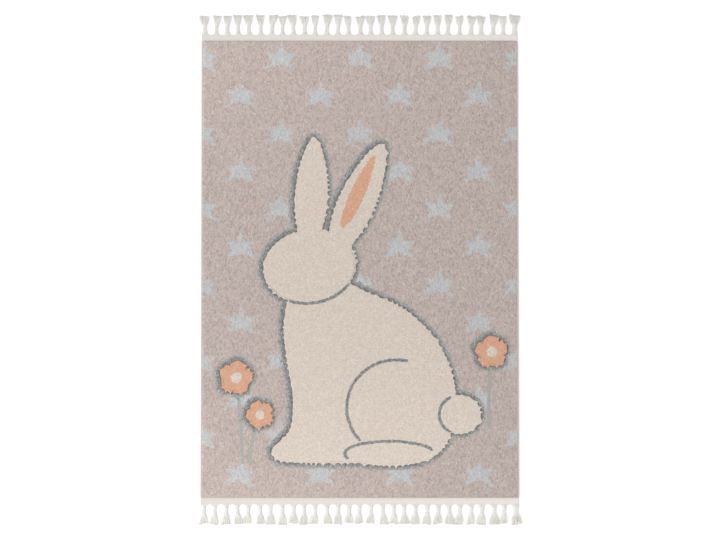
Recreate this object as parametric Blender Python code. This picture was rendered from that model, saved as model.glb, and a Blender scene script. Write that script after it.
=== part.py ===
"""Children's rug in two pile heights, with a tasselled fringe at both ends, lying flat.

The rug lies on z = 0 and is centred on the origin. Its length runs along Y, and the motif's top is at +Y.
One woven piece carries the low ground pile and the raised motif, a sitting rabbit with flowers beside it.
Each long side is whipped with yarn, and a fringe is sewn along each end: a tape with knotted tassels.
All sizes are in metres.
"""

import math
from collections import namedtuple

import bmesh
import bpy
from mathutils import Matrix

# Driving sizes
FIELD_WIDTH = 1.600
FIELD_LENGTH = 2.300
GROUND_HEIGHT = 0.010
RELIEF = 0.006
SEAM_GAP = 0.0003
PILE_SHOULDER = 0.004

WHIPPING_WIDTH = 0.008
WHIPPING_HEIGHT = 0.009

TAPE_WIDTH = 0.028
TAPE_THICKNESS = 0.0035
TASSELS = 29
TASSEL_PITCH = 0.0560
LOCKS = 4

# The relief: its outlines sink this far into the ground pile, so that the two are one solid
RELIEF_SINK = 0.004
RELIEF_SHOULDER = 0.002
GROOVE_RADIUS = 0.005
STEPS_PER_SPAN = 5

# A tassel from the tape outwards. Half widths are across it, and every section rests on the floor.
Section = namedtuple("Section", "name along half_width height edge_height")
STEM = (
    Section("root", 0.004, 0.0140, 0.0060, 0.0035),
    Section("neck", 0.014, 0.0082, 0.0105, 0.0050),
    Section("knot", 0.053, 0.0095, 0.0145, 0.0070),
    Section("gather", 0.061, 0.0085, 0.0100, 0.0050),
)
SKIRT = (
    Section("swell", 0.074, 0.0150, 0.0080, 0.0055),
    Section("tip", 0.100, 0.0215, 0.0045, 0.0035),
)
ROOT_HALF_WIDTH = 0.0200
LOCK_FILL = 0.86
TASSEL_PLACE_PLAY = 0.0020
TASSEL_LEAN = 0.0060
TASSEL_SPREAD_PLAY = 0.13
TASSEL_REACH_PLAY = 0.040
WIDEST_TASSEL = 1.25

# The motif's outlines, seen from above. Each oval has a centre, two half sizes and a turn in degrees.
Oval = namedtuple("Oval", "x y half_long half_short turn")
Ear = namedtuple("Ear", "x y length width lean")
Flower = namedtuple("Flower", "x y radius turn")
HEAD = Oval(-0.250, 0.010, 0.235, 0.185, 10)
TAIL = Oval(0.505, -0.735, 0.105, 0.098, 0)
HIND_FOOT = Oval(0.150, -0.930, 0.225, 0.062, 0)
FAR_EAR = Ear(-0.255, 0.120, 0.540, 0.165, 3)
NEAR_EAR = Ear(-0.125, 0.080, 0.600, 0.185, 24)
BODY = (
    (-0.120, -0.060),
    (0.050, -0.125),
    (0.240, -0.215),
    (0.400, -0.380),
    (0.480, -0.590),
    (0.470, -0.800),
    (0.390, -0.935),
    (0.240, -0.975),
    (0.000, -0.978),
    (-0.260, -0.978),
    (-0.405, -0.965),
    (-0.440, -0.915),
    (-0.395, -0.865),
    (-0.345, -0.800),
    (-0.335, -0.640),
    (-0.365, -0.460),
    (-0.380, -0.280),
    (-0.330, -0.120),
)
HAUNCH = Oval(0.185, -0.700, 0.250, 0.240, 0)
HAUNCH_FROM, HAUNCH_TO = 78, 222
JAW_FROM, JAW_TO = 205, 372
FLOWERS = (
    Flower(-0.620, -0.550, 0.084, 8),
    Flower(-0.500, -0.735, 0.068, 40),
    Flower(0.665, -0.420, 0.080, 20),
)
PETALS = 5

WOVEN_COLOUR = (0.52, 0.44, 0.40, 1.0)
WHIPPING_COLOUR = (0.60, 0.47, 0.42, 1.0)
FRINGE_COLOUR = (0.80, 0.77, 0.72, 1.0)


def clear_scene():
    for obj in list(bpy.data.objects):
        bpy.data.objects.remove(obj)


def new_collection(name, hidden=False):
    collection = bpy.data.collections.new(name)
    collection.hide_render = hidden
    bpy.context.scene.collection.children.link(collection)
    return collection


def material(name, colour, roughness):
    made = bpy.data.materials.new(name)
    made.use_nodes = True
    shader = made.node_tree.nodes["Principled BSDF"]
    shader.inputs["Base Color"].default_value = colour
    shader.inputs["Roughness"].default_value = roughness
    shader.inputs["Metallic"].default_value = 0.0
    return made


def vary(number, salt):
    """A repeatable uneven value from -1 to 1 for tassel number 0 to 57."""
    wave = math.sin(number * 12.9898 + salt * 78.233) * 43758.5453
    return 2 * (wave - math.floor(wave)) - 1


def object_of(bm, name, collection):
    mesh = bpy.data.meshes.new(name)
    bm.to_mesh(mesh)
    bm.free()
    obj = bpy.data.objects.new(name, mesh)
    collection.objects.link(obj)
    return obj


# Outlines


def oval_points(oval, start=0, stop=360, count=28):
    """Points round an oval, from start to stop degrees. A whole round leaves out its last point."""
    turn = math.radians(oval.turn)
    whole = stop - start == 360
    points = []
    for i in range(count):
        angle = math.radians(start + (stop - start) * i / (count if whole else count - 1))
        along, across = oval.half_long * math.cos(angle), oval.half_short * math.sin(angle)
        points.append(
            (
                oval.x + along * math.cos(turn) - across * math.sin(turn),
                oval.y + along * math.sin(turn) + across * math.cos(turn),
            )
        )
    return points


def ear_points(ear, count=12):
    """An ear: narrow at its foot, widest past the middle, with a round tip."""
    lean = math.radians(ear.lean)
    levels = [0.5 - 0.5 * math.cos(math.pi * i / count) for i in range(count + 1)]

    def place(level, side):
        half = ear.width / 2 * math.sin(math.pi * level**0.85) ** 0.55
        across, up = side * half, level * ear.length
        return (
            ear.x + across * math.cos(lean) + up * math.sin(lean),
            ear.y - across * math.sin(lean) + up * math.cos(lean),
        )

    right = [place(level, 1) for level in levels[1:-1]]
    left = [place(level, -1) for level in reversed(levels[1:-1])]
    return [place(0, 1)] + right + [place(0.9999, 1)] + left


def smooth_loop(points):
    """A closed Catmull-Rom curve through the points."""
    count = len(points)
    curve = []
    for i in range(count):
        before, here, there, after = (points[(i + k) % count] for k in (-1, 0, 1, 2))
        for step in range(STEPS_PER_SPAN):
            t = step / STEPS_PER_SPAN
            curve.append(
                tuple(
                    0.5
                    * (
                        2 * b
                        + (c - a) * t
                        + (2 * a - 5 * b + 4 * c - d) * t * t
                        + (3 * b - a - 3 * c + d) * t**3
                    )
                    for a, b, c, d in zip(before, here, there, after)
                )
            )
    return curve


def flower_points(flower):
    """A flower head with round petals, as a wave on a circle."""
    points = []
    steps = PETALS * 8
    for i in range(steps):
        angle = 2 * math.pi * i / steps
        radius = flower.radius * (0.80 + 0.20 * abs(math.cos(PETALS * angle / 2)) ** 0.7)
        facing = angle + math.radians(flower.turn)
        points.append((flower.x + radius * math.cos(facing), flower.y + radius * math.sin(facing)))
    return points


# Solids for the relief


def mesh_from_curve(data, name, collection):
    """The curve as a closed mesh object, with its caps welded."""
    curve = bpy.data.objects.new(name, data)
    collection.objects.link(curve)
    bpy.context.view_layer.update()
    graph = bpy.context.evaluated_depsgraph_get()
    mesh = bpy.data.meshes.new_from_object(curve.evaluated_get(graph))
    bpy.data.objects.remove(curve)
    bm = bmesh.new()
    bm.from_mesh(mesh)
    bmesh.ops.remove_doubles(bm, verts=bm.verts, dist=0.00002)
    bmesh.ops.recalc_face_normals(bm, faces=bm.faces)
    return object_of(bm, name, collection)


def poly_spline(data, points, closed):
    spline = data.splines.new("POLY")
    spline.points.add(len(points) - 1)
    for point, place in zip(spline.points, points):
        point.co = (*place, 1.0)
    spline.use_cyclic_u = closed


def raised_island(name, outline, collection):
    """An outline raised to the motif's height, with a soft upper edge, sunk into the ground pile."""
    data = bpy.data.curves.new(name, "CURVE")
    data.dimensions = "2D"
    data.fill_mode = "BOTH"
    data.extrude = (RELIEF + RELIEF_SINK) / 2 - RELIEF_SHOULDER
    data.bevel_depth = RELIEF_SHOULDER
    data.bevel_resolution = 0
    data.offset = -RELIEF_SHOULDER
    poly_spline(data, [(x, y, 0.0) for x, y in outline], closed=True)
    island = mesh_from_curve(data, name, collection)
    island.data.transform(Matrix.Translation((0, 0, GROUND_HEIGHT + (RELIEF - RELIEF_SINK) / 2)))
    return island


def groove(name, line, collection):
    """A round-bottomed channel along a line in the motif's top."""
    data = bpy.data.curves.new(name, "CURVE")
    data.dimensions = "3D"
    data.bevel_depth = GROOVE_RADIUS
    data.bevel_resolution = 1
    data.use_fill_caps = True
    top = GROUND_HEIGHT + RELIEF + 0.0015
    poly_spline(data, [(x, y, top) for x, y in line], closed=False)
    return mesh_from_curve(data, name, collection)


def combine(target, tool, operation):
    tool.hide_render = True
    tool.display_type = "WIRE"
    modifier = target.modifiers.new(tool.name, "BOOLEAN")
    modifier.operation = operation
    modifier.object = tool


def pile_slab(collection):
    """The ground pile: a flat slab with rounded upper edges."""
    bm = bmesh.new()
    width = FIELD_WIDTH - 2 * (WHIPPING_WIDTH + SEAM_GAP)
    size = Matrix.Diagonal((width, FIELD_LENGTH, GROUND_HEIGHT, 1.0))
    lift = Matrix.Translation((0, 0, GROUND_HEIGHT / 2))
    bmesh.ops.create_cube(bm, size=1.0, matrix=lift @ size)
    upper = [edge for edge in bm.edges if all(v.co.z > GROUND_HEIGHT / 2 for v in edge.verts)]
    bmesh.ops.bevel(
        bm, geom=upper, offset=PILE_SHOULDER, segments=2, profile=0.5, affect="EDGES"
    )
    return object_of(bm, "pile_rug", collection)


def woven_rug(collection, helpers):
    """The rug itself: ground pile, the raised motif, and the grooves that part the motif's forms."""
    rug = pile_slab(collection)
    islands = {
        "far_ear": ear_points(FAR_EAR),
        "near_ear": ear_points(NEAR_EAR),
        "body": smooth_loop(BODY),
        "head": oval_points(HEAD, count=40),
        "tail": oval_points(TAIL),
        "hind_foot": oval_points(HIND_FOOT),
    }
    for number, flower in enumerate(FLOWERS):
        islands[f"flower_{number}"] = flower_points(flower)
    for name, outline in islands.items():
        combine(rug, raised_island(name, outline, helpers), "UNION")
    grooves = {
        "haunch_line": oval_points(HAUNCH, HAUNCH_FROM, HAUNCH_TO, 16),
        "jaw_line": oval_points(HEAD, JAW_FROM, JAW_TO, 22),
        "foot_line": oval_points(HIND_FOOT, 20, 200, 16),
        "tail_line": oval_points(TAIL, 118, 250, 10),
    }
    for name, line in grooves.items():
        combine(rug, groove(name, line, helpers), "DIFFERENCE")
    return rug


# Edges and fringes


def whipping(name, side, collection):
    """The yarn-wrapped cord along one long side."""
    data = bpy.data.curves.new(name, "CURVE")
    data.dimensions = "3D"
    data.bevel_depth = 0.5
    data.bevel_resolution = 2
    data.use_fill_caps = True
    half = FIELD_LENGTH / 2
    poly_spline(data, [(0, -half, 0), (0, half, 0)], closed=False)
    cord = mesh_from_curve(data, name, collection)
    cord.data.transform(Matrix.Diagonal((WHIPPING_WIDTH, 1.0, WHIPPING_HEIGHT, 1.0)))
    cord.location = (side * (FIELD_WIDTH - WHIPPING_WIDTH) / 2, 0, WHIPPING_HEIGHT / 2)
    return cord


def tassel_x(number):
    """Where a tassel leaves the tape. The outermost two of each row stay in place."""
    column = number % TASSELS
    play = 0 if column in (0, TASSELS - 1) else TASSEL_PLACE_PLAY * vary(number, 1)
    return (column - (TASSELS - 1) / 2) * TASSEL_PITCH + play


def tape_cuts(numbers):
    """The x of each edge across the tape: its ends, and five for the root of each tassel."""
    limit = FIELD_WIDTH / 2 - 0.001
    cuts = [-FIELD_WIDTH / 2]
    for number in numbers:
        for column in range(LOCKS + 1):
            place = tassel_x(number) + (2 * column / LOCKS - 1) * ROOT_HALF_WIDTH
            cuts.append(min(max(place, -limit), limit))
    return cuts + [FIELD_WIDTH / 2]


def shape_section(verts, section, number, across, upper, base_y):
    """Moves a section's points to their place. across runs from -1 to 1 over the tassel."""
    lean = TASSEL_LEAN * vary(number, 4) * (section.along / SKIRT[-1].along) ** 1.5
    spread, reach = 1.0, 1.0
    if section in SKIRT:
        spread += TASSEL_SPREAD_PLAY * vary(number, 2)
        if number == 2 * TASSELS - 1:
            spread = WIDEST_TASSEL
    if section is SKIRT[-1]:
        reach += TASSEL_REACH_PLAY * vary(number, 3)
    for vert in verts:
        share = vert[across]
        dome = math.sqrt(max(0.0, 1 - share * share))
        height = section.edge_height + (section.height - section.edge_height) * dome
        foot = 0.0 if section in SKIRT else 0.25 * section.edge_height * (1 - dome)
        vert.co.x = tassel_x(number) + lean + share * section.half_width * spread
        vert.co.y = base_y + section.along * reach
        vert.co.z = height if vert[upper] else foot


def grow_tassel(bm, faces, number, across, upper, base_y):
    """Draws a tassel out of its root's faces: one stem, then a skirt of separate locks."""
    for section in STEM:
        edges = list(dict.fromkeys(edge for face in faces for edge in face.edges))
        made = bmesh.ops.extrude_face_region(bm, geom=faces + edges)["geom"]
        faces = [item for item in made if isinstance(item, bmesh.types.BMFace)]
        verts = {vert for face in faces for vert in face.verts}
        shape_section(verts, section, number, across, upper, base_y)
    for section in SKIRT:
        faces = bmesh.ops.extrude_discrete_faces(bm, faces=faces)["faces"]
        for face in faces:
            shape_section(face.verts, section, number, across, upper, base_y)
            middle = sum(vert.co.x for vert in face.verts) / len(face.verts)
            for vert in face.verts:
                vert.co.x = middle + (vert.co.x - middle) * LOCK_FILL


def fringe(name, numbers, end, collection):
    """A fringe: the tape, and the tassels that grow out of its outer edge."""
    cuts = tape_cuts(numbers)
    bm = bmesh.new()
    across = bm.verts.layers.float.new("across")
    upper = bm.verts.layers.int.new("upper")
    bmesh.ops.create_grid(bm, x_segments=len(cuts) - 1, y_segments=1, size=1.0)
    columns = sorted({round(vert.co.x, 5) for vert in bm.verts})
    inner_y = FIELD_LENGTH / 2 + SEAM_GAP
    for vert in bm.verts:
        column = columns.index(round(vert.co.x, 5))
        vert[upper] = 1 if vert.co.y > 0 else 0
        vert[across] = 2 * ((column - 1) % (LOCKS + 1)) / LOCKS - 1
        vert.co = (cuts[column], inner_y, TAPE_THICKNESS * vert[upper])
    wall = bmesh.ops.extrude_face_region(bm, geom=list(bm.faces))["geom"]
    outer = [item for item in wall if isinstance(item, bmesh.types.BMFace)]
    for vert in {vert for face in outer for vert in face.verts}:
        vert.co.y += TAPE_WIDTH
    outer.sort(key=lambda face: face.calc_center_median().x)
    for place, number in enumerate(numbers):
        first = 1 + place * (LOCKS + 1)
        root = outer[first : first + LOCKS]
        grow_tassel(bm, root, number, across, upper, inner_y + TAPE_WIDTH)
    if end < 0:
        bmesh.ops.scale(bm, vec=(1, -1, 1), verts=bm.verts)
    bmesh.ops.recalc_face_normals(bm, faces=bm.faces)
    return object_of(bm, name, collection)


def main():
    clear_scene()
    parts = new_collection("kids_rug")
    helpers = new_collection("helpers", hidden=True)
    woven = material("woven_pile", WOVEN_COLOUR, 0.95)
    yarn = material("whipping_yarn", WHIPPING_COLOUR, 0.9)
    cotton = material("fringe_yarn", FRINGE_COLOUR, 0.85)
    woven_rug(parts, helpers).data.materials.append(woven)
    for name, side in (("whipping_left", -1), ("whipping_right", 1)):
        whipping(name, side, parts).data.materials.append(yarn)
    fringe("fringe_top", range(TASSELS), 1, parts).data.materials.append(cotton)
    second = range(TASSELS, 2 * TASSELS)
    fringe("fringe_bottom", second, -1, parts).data.materials.append(cotton)


main()
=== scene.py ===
"""The children's rug as it looks: pile in two heights, whipped sides, tapes and knotted tassels."""

import math
from collections import namedtuple

import bpy
import numpy as np
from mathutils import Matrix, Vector


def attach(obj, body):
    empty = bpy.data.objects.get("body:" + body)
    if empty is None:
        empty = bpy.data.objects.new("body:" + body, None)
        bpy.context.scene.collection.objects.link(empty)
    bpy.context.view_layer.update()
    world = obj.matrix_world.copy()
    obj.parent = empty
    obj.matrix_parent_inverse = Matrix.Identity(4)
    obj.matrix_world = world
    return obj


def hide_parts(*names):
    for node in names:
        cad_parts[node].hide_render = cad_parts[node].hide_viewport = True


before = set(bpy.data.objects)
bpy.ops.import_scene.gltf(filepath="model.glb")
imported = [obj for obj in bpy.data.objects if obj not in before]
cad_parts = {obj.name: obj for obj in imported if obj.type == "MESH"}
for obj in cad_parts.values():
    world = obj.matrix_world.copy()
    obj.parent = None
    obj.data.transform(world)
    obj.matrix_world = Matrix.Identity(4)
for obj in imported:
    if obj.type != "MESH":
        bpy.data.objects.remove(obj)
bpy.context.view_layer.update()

# Sizes in metres, as in the part's source
FIELD_WIDTH = 1.600
FIELD_LENGTH = 2.300
GROUND_HEIGHT = 0.010
RELIEF = 0.006
SEAM_GAP = 0.0003
WHIPPING_WIDTH = 0.008
WHIPPING_HEIGHT = 0.009
TAPE_THICKNESS = 0.0035
TASSELS = 29
TASSEL_PITCH = 0.0560

# Farther than anything on the rug, and how far from an outline a distance is still worked out
FAR = 9.0
OUTLINE_REACH = 0.06

# What makes each unevenness the same in every run
SEEDS = {
    "cloth_lumps": 21,
    "cloth_swell": 8,
    "cloth_tufts": 2,
    "high_tufts": 5,
    "high_swell": 3,
    "rim_tufts": 14,
    "tassels_top": 41,
    "tassels_bottom": 39,
}

# What the rule for a numbered tassel or star makes uneven
PLACE, SPREAD, LENGTH, LEAN, BRAID_START, SHADE, GIRTH, STAR_TURN = 1, 2, 3, 4, 5, 6, 7, 11

# The whipped sides
WHIPPING_PITCH = 0.0040
WHIPPING_STEP = 0.0010
WHIPPING_SIDES = 8
WHIPPING_FULLNESS = 1.15
WHIPPING_GROOVE = 0.13
WHIPPING_END = 0.004

# The fringe. Some of its sizes lie a few millimetres off those in the part's source
TAPE_WIDTH = {"top": 0.0335, "bottom": 0.0363}
TAPE_EDGE_HEIGHT = 0.0022
TAPE_RIBS = 6
TAPE_RIB_HEIGHT = 0.00030
STITCH_PITCH, STITCH_LENGTH = 0.0062, 0.0050
STITCH_RADIUS = 0.00055
STITCH_MARGIN = 0.006
STITCH_ROWS = (0.16, 0.72)
TASSEL_FROM = {"top": 0.0314, "bottom": 0.0345}
TASSEL_LENGTH = 0.0997
STEM_HALF_WIDTH = 0.0086

# How wide the tassels of each end are, times the sizes given here
STEM_SIZE = {"top": 1.08, "bottom": 1.22}
SWELL_SIZE = {"top": 0.94, "bottom": 1.06}
SPREAD_SIZE = {"top": 1.01, "bottom": 0.99}

# A tassel's roots, from under the tape to where the braid hides them
ROOT_YARNS = 24
ROOT_YARN_RADIUS = 0.00125
ROOT_FILLET = {"top": 0.0135, "bottom": 0.0132}
ROOT_INSET = 0.0012
ROOT_LIFT = 0.0014
RootPoint = namedtuple("RootPoint", "out height narrower")
ROOT_COURSE = (
    RootPoint(-0.0060, 0.0022, 0.0012),
    RootPoint(-0.0010, 0.0026, 0.0012),
    RootPoint(0.0012, 0.0030, 0.0012),
    RootPoint(0.0035, 0.0034, 0.0012),
    RootPoint(0.0070, 0.0040, 0.0012),
    RootPoint(0.0125, 0.0050, 0.0012),
    RootPoint(0.0180, 0.0056, 0.0034),
)

# Its braid of three strands, each of three yarns
BRAID_FROM, BRAID_TO = 0.0105, 0.0440
BRAID_REPEAT, STRAND_REPEAT = 0.0290, 0.020
BRAID_HALF_WIDTH, BRAID_HALF_HEIGHT = 0.0048, 0.0019
BRAID_HEIGHT = 0.0054
STRAND_RADIUS = 0.0017
BRAID_YARN_RADIUS = 0.0019

# The turns that tie the braid off
NECK = 0.0470
NECK_HALF_WIDTH, NECK_HALF_HEIGHT = 0.0054, 0.0040
NECK_HEIGHT, NECK_LOWEST = 0.0055, 0.0015
NECK_YARN_RADIUS = 0.0014
NeckTurn = namedtuple("NeckTurn", "out slant size")
NECK_TURNS = (
    NeckTurn(-0.0034, 0.0014, 1.04),
    NeckTurn(-0.0011, 0.0010, 1.00),
    NeckTurn(0.0012, 0.0010, 1.00),
    NeckTurn(0.0030, -0.0026, 1.10),
)

# Its skirt of loose strands
SKIRT_STRANDS = 45
SKIRT_LAYERS = 3
SKIRT_YARN_RADIUS = 0.0013
SkirtWidth = namedtuple("SkirtWidth", "out half_width")
SKIRT = (
    SkirtWidth(0.0460, 0.0048),
    SkirtWidth(0.0505, 0.0060),
    SkirtWidth(0.0545, 0.0096),
    SkirtWidth(0.0580, 0.0114),
    SkirtWidth(0.0660, 0.0143),
    SkirtWidth(0.0760, 0.0168),
    SkirtWidth(0.0860, 0.0197),
    SkirtWidth(0.1000, 0.0222),
)

# How far from the rug's middle the skirts turn a little darker and yellower, and their tips paler
SKIRT_TONE_FROM, SKIRT_TONE_TO = 1.224, 1.234
TIP_TONE_FROM, TIP_TONE_TO = 1.245, 1.272

# A yarn's own value picks its tone. LAST_TONE picks the last of three or four tones, and a value
# below OTHER_TONES picks one of the first three of four
LAST_TONE = 0.9
OTHER_TONES = 0.74

# How uneven the tassels are. Numbers 0 to 28 are at the top, and 29 to 57 at the bottom
WIDE_STEMS = {0: 1.25, 28: 1.35, 57: 1.32}
WIDE_SKIRTS = (28, 57)
TASSEL_PLACE_PLAY = 0.0032
TASSEL_LEAN = 0.0075
TASSEL_SPREAD_PLAY = 0.17
TASSEL_LENGTH_PLAY = 0.045
STEM_PLAY = 0.08
WIDEST_TASSEL = 1.18

# The motif, from the rug's middle. Turns and leans are in degrees
Oval = namedtuple("Oval", "x y half_long half_short turn")
Ear = namedtuple("Ear", "x y length width lean")
Flower = namedtuple("Flower", "x y radius turn foot_x foot_y")
HEAD = Oval(-0.250, 0.010, 0.235, 0.185, 10)
TAIL = Oval(0.505, -0.735, 0.105, 0.098, 0)
HIND_FOOT = Oval(0.150, -0.930, 0.225, 0.062, 0)
FAR_EAR = Ear(-0.255, 0.120, 0.540, 0.165, 3)
NEAR_EAR = Ear(-0.125, 0.080, 0.600, 0.185, 24)
INNER_EAR = Ear(-0.088, 0.205, 0.400, 0.072, 24)
BODY = (
    (-0.120, -0.060),
    (0.050, -0.125),
    (0.240, -0.215),
    (0.400, -0.380),
    (0.480, -0.590),
    (0.470, -0.800),
    (0.390, -0.935),
    (0.240, -0.975),
    (0.000, -0.978),
    (-0.260, -0.978),
    (-0.405, -0.965),
    (-0.440, -0.915),
    (-0.395, -0.865),
    (-0.345, -0.800),
    (-0.335, -0.640),
    (-0.365, -0.460),
    (-0.380, -0.280),
    (-0.330, -0.120),
)
HAUNCH = Oval(0.185, -0.700, 0.250, 0.240, 0)

# The grey lines in the high pile run along ovals, between two angles
Arc = namedtuple("Arc", "oval start stop count")
LINES = (
    Arc(HAUNCH, 78, 222, 30),
    Arc(HEAD, 205, 372, 40),
    Arc(HIND_FOOT, 20, 200, 30),
    Arc(TAIL, 118, 250, 20),
)
LINE_WIDTH = 0.015

FLOWERS = (
    Flower(-0.620, -0.550, 0.084, 8, -0.590, -0.975),
    Flower(-0.500, -0.735, 0.068, 40, -0.560, -0.975),
    Flower(0.665, -0.420, 0.080, 20, 0.650, -0.800),
)
PETALS = 5
FLOWER_HEART = 0.33
STEM_WIDTH = 0.016
STEM_BEND = 0.012

# The ground's stars stand in rows, every second row moved by half a step
STAR_STEP = 0.400
STAR_ROW = 0.1908
STAR_ROWS = 12
STAR_COLUMNS = range(-3, 4)
STAR_REACH = 0.03
STAR_TOP = 1.058
STAR_TILT = -3
STAR_TILT_PLAY = 4
StarCorner = namedtuple("StarCorner", "angle radius")
HALF_STAR = (
    StarCorner(90, 0.092),
    StarCorner(60, 0.041),
    StarCorner(21, 0.084),
    StarCorner(-6, 0.047),
    StarCorner(-35, 0.098),
    StarCorner(-90, 0.027),
)

# The low pile and its rim
GROUND_LATTICE = 0.0072
CLOTH_ROUNDING = 0.003
CLOTH_OVERHANG = 0.0014
CLOTH_RIM_DROP = 0.0012
CLOTH_RIM_DEPTH = 0.0030
CLOTH_LUMP, CLOTH_LUMP_RISE = 0.016, 0.0003
CLOTH_SWELL, CLOTH_SWELL_RISE = 0.30, 0.0004
CLOTH_TUFT_PLAY = 0.00025
MOTIF_SINK, MOTIF_SINK_REACH = 0.0012, 0.012
# The low pile's outermost tufts get painted light, from and to these distances from the middle
PAINTED_LIGHT_RIM_FROM = FIELD_WIDTH / 2 - 0.017
PAINTED_LIGHT_RIM_TO = FIELD_WIDTH / 2 - 0.010

# The grey line round the motif is laid in the low pile, a little to the left and up
OUTLINE_WIDTH = 0.0268
OUTLINE_SHIFT = (-0.0055, 0.0032)

# The high pile. Its rim's tufts lean to the right and down
RAISED_LATTICE = 0.0037
RAISED_MARGIN = 0.01
RAISED_TUFT = 0.0102
RAISED_SINK = 0.0015
TUFT_RISE = 0.0013
HIGH_SWELL, HIGH_SWELL_RISE = 0.12, 0.0003
LINE_DEPTH = 0.0026
PETAL_DEPTH = 0.0016
RIM_ROUNDING = 0.0060
# How far in from its rim the high pile is grey: outline yarn and painted shade
RIM_GREY_AND_SHADE = 0.0022
RIM_TUFT_STEP = 0.0037
RIM_SPOT_DEPTH = 0.0015
RIM_TUFT_RADII = (0.0014, 0.0020, 0.0021, 0.0013)
RIM_CLUMP = 0.0340
RIM_LEAN = (0.86, -0.51)
RimRow = namedtuple("RimRow", "inset high low reach")
RIM_ROWS = (
    RimRow(0.0078, 0.0152, 0.0122, 0.85),
    RimRow(0.0050, 0.0138, 0.0104, 1.00),
    RimRow(0.0024, 0.0112, 0.0086, 1.00),
)

# Yarn sizes: tufts and runs of one yarn in the pile, their plies, fibres, streaks and patches
GROUND_TUFT = (0.0052, 0.0063)
GROUND_RUN = (0.0072, 0.0120)
GROUND_PLY = (0.0015, 0.0017)
RAISED_YARN = (0.0048, 0.0048)
RAISED_PLY = (0.0016, 0.0016)
PILE_FIBRE = (0.0008, 0.0011, 0.0010)
PILE_RUFFLE, PILE_RUFFLE_REACH = 0.0026, 0.0030
PILE_STREAK = (0.0060, 0.100, 0.0060)
PILE_PATCH = (0.16, 0.24, 0.16)
RIM_FIBRE = (0.0011, 0.0011, 0.0030)
COTTON_FIBRE = (0.0010, 0.0016, 0.0010)
TAPE_FIBRE = (0.0012, 0.0012, 0.0012)
TAPE_PATCH = (0.020, 0.006, 0.010)
WHIPPING_FIBRE = (0.0010, 0.0010, 0.0010)
WHIPPING_PATCH = (0.01, 0.05, 0.01)
YARN_WANDER = 0.008

# The weaves of the tape and the back, across and along
TAPE_WEAVE = (0.0026, 0.0028)
BACK_WEAVE = (0.0080, 0.0068)
BACK_KNOT = (0.0040, 0.0034)

# The stage, with the camera almost straight above
PICTURE_WIDTH = 716
METRES_PER_PIXEL = 0.005040
CAMERA_DISTANCE = 6.0
CAMERA_TILT = math.radians(1.2)
CAMERA_TARGET = (-0.0084, -0.0082, 0.010)
ROOM_LIGHT = 0.88
WINDOW_SIZE = (3.4, 4.4)
WINDOW_POWER = 264
WINDOW_PLACE = (-4.4, -1.4, 6.6)
FLOOR_HALF_SIZE = 30.0
FLOOR_DROP = 0.0004
FLOOR_GREYS = ((0.965, 0.965, 0.965, 1.0), (0.985, 0.985, 0.985, 1.0))


# Numbers that repeat from run to run


def vary(number, salt):
    """A repeatable uneven value from -1 to 1 for a tassel or star, by its number."""
    wave = math.sin(number * 12.9898 + salt * 78.233) * 43758.5453
    return 2 * (wave - math.floor(wave)) - 1


def tufts(points, pitch, jitter, seed):
    """How far each point is from a tuft's middle, in pitches, and that tuft's own value."""
    size = 256
    table = np.random.default_rng(seed).random((size, size, 3))
    cell = np.floor(points / pitch).astype(int)
    nearest, own = np.full(len(points), FAR), np.zeros(len(points))
    for across in (-1, 0, 1):
        for up in (-1, 0, 1):
            at = cell + (across, up)
            play = table[at[:, 0] % size, at[:, 1] % size]
            middle = (at + 0.5 + jitter * (play[:, :2] - 0.5)) * pitch
            away = np.hypot(*((points - middle) / pitch).T)
            own = np.where(away < nearest, play[:, 2], own)
            nearest = np.minimum(away, nearest)
    return nearest, own


# Outlines seen from above


def oval_points(oval, start=0, stop=360, count=72):
    """An oval, or its arc between two angles."""
    turn = math.radians(oval.turn)
    angle = np.radians(np.linspace(start, stop, count, endpoint=stop - start != 360))
    along, across = oval.half_long * np.cos(angle), oval.half_short * np.sin(angle)
    x = oval.x + along * math.cos(turn) - across * math.sin(turn)
    y = oval.y + along * math.sin(turn) + across * math.cos(turn)
    return np.column_stack((x, y))


def ear_points(ear, count=30):
    """A long leaf, broadest a little above its middle."""
    lean = math.radians(ear.lean)
    level = 0.5 - 0.5 * np.cos(np.pi * np.arange(count + 1) / count)
    half = ear.width / 2 * np.abs(np.sin(np.pi * level**0.85)) ** 0.55
    across = np.concatenate((half, -half[-2:0:-1]))
    up = ear.length * np.concatenate((level, level[-2:0:-1]))
    x = ear.x + across * math.cos(lean) + up * math.sin(lean)
    y = ear.y - across * math.sin(lean) + up * math.cos(lean)
    return np.column_stack((x, y))


def smooth_loop(points, steps=8):
    """A closed curve that runs smoothly through the points."""
    here = np.array(points)
    before, there, after = np.roll(here, 1, 0), np.roll(here, -1, 0), np.roll(here, -2, 0)
    spans = []
    for t in np.arange(steps) / steps:
        spans.append(
            0.5
            * (
                2 * here
                + (there - before) * t
                + (2 * before - 5 * here + 4 * there - after) * t**2
                + (3 * here - before - 3 * there + after) * t**3
            )
        )
    return np.stack(spans, axis=1).reshape(-1, 2)


def flower_points(flower, steps=120):
    """A round flower of five petals."""
    angle = 2 * np.pi * np.arange(steps) / steps
    radius = flower.radius * (0.80 + 0.20 * np.abs(np.cos(PETALS * angle / 2)) ** 0.7)
    facing = angle + math.radians(flower.turn)
    x, y = flower.x + radius * np.cos(facing), flower.y + radius * np.sin(facing)
    return np.column_stack((x, y))


def star_points(x, y, tilt):
    """A star with its legs apart, the same on its left as on its right."""
    left = [StarCorner(180 - corner.angle, corner.radius) for corner in HALF_STAR[-2:0:-1]]
    corners = np.array([*HALF_STAR, *left])
    angle = np.radians(corners[:, 0] + tilt)
    return np.column_stack((x + corners[:, 1] * np.cos(angle), y + corners[:, 1] * np.sin(angle)))


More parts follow.
